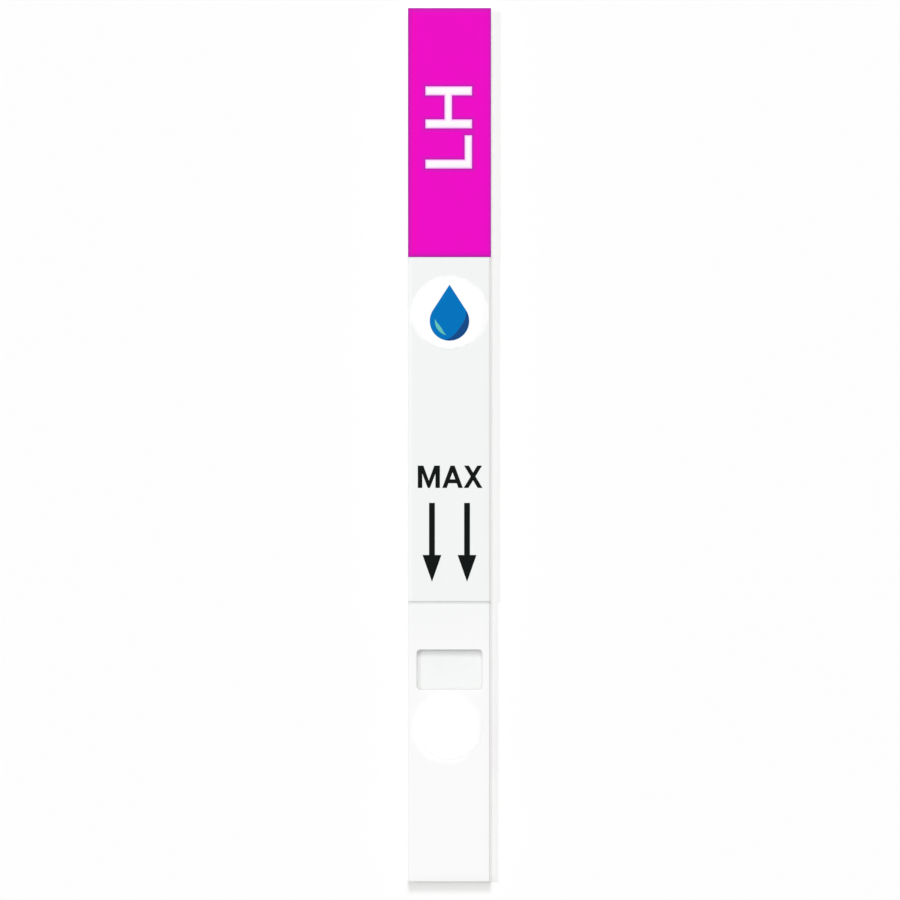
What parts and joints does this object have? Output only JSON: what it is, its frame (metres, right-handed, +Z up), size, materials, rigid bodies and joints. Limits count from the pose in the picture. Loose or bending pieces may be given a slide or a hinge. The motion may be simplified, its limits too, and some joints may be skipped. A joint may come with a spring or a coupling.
{
  "type": "ovulation test strip",
  "caption": "Flat laminated lateral flow dipstick with a coloured handle end, dip arrows and a die-cut window over the membrane.",
  "frame": {"origin": "centre of the backing card's underside, on the surface that the strip lies on", "axes": "+Y along the strip towards the handle end, +Z up out of the printed face"},
  "size_m": [0.008, 0.0842, 0.0016],
  "materials": {
    "backing": "satin",
    "sample_fibre": "matte",
    "conjugate_fibre": "matte",
    "membrane": "matte",
    "wick_fibre": "matte",
    "window_card": "satin",
    "front_label": "satin",
    "handle_tape": "satin",
    "black_ink": "satin",
    "blue_ink": "satin",
    "white_ink": "satin"
  },
  "bodies": {
    "root": {"backing_card": "backing", "sample_pad": "sample_fibre", "conjugate_pad": "conjugate_fibre", "nitrocellulose_membrane": "membrane", "absorbent_pad": "wick_fibre", "window_card": "window_card", "front_label": "front_label", "handle_tape": "handle_tape", "dip_arrows": "black_ink", "label_spot": "white_ink", "sample_drop": "blue_ink", "card_spot": "white_ink"}
  },
  "joints": []
}
